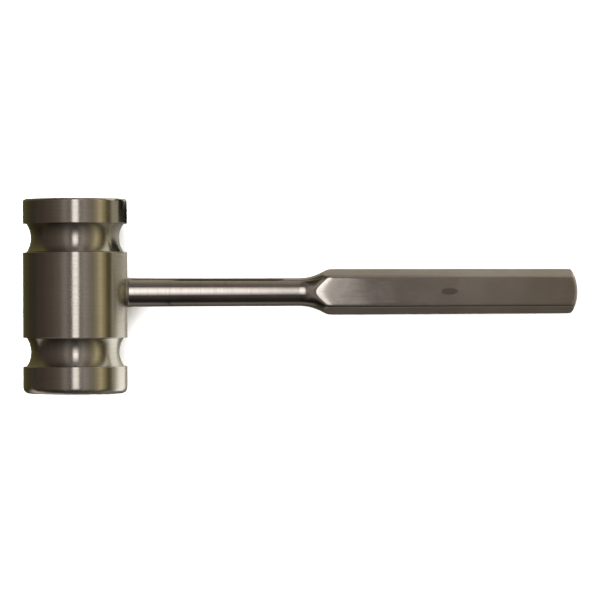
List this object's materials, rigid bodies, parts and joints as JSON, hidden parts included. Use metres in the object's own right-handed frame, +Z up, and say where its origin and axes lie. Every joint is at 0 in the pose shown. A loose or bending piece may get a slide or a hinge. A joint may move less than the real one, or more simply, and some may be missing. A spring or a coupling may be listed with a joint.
{
  "type": "bone mallet",
  "caption": "All-steel bone mallet with a grooved cylindrical head, flat striking faces, a round neck and a flat-sided grip with a domed butt.",
  "frame": {"origin": "on the table, under the middle of the mallet's bounding box as it lies on its side", "axes": "+X from the head to the butt of the handle, +Y along the head's axis towards its front striking face, +Z up from the table"},
  "size_m": [0.2136, 0.0746, 0.04],
  "materials": {
    "head_steel": "satin stainless steel with fine turning marks around the head",
    "handle_steel": "satin stainless steel, turned on the neck and brushed lengthwise on the grip",
    "pin_steel": "ground stainless steel, hidden inside the head",
    "weld_steel": "fillet weld ground and polished to a satin finish"
  },
  "bodies": {
    "root": {"head_barrel": "head_steel", "striking_end_front": "head_steel", "striking_end_back": "head_steel", "handle": "handle_steel", "handle_lock_pin": "pin_steel", "neck_weld": "weld_steel"}
  },
  "joints": []
}
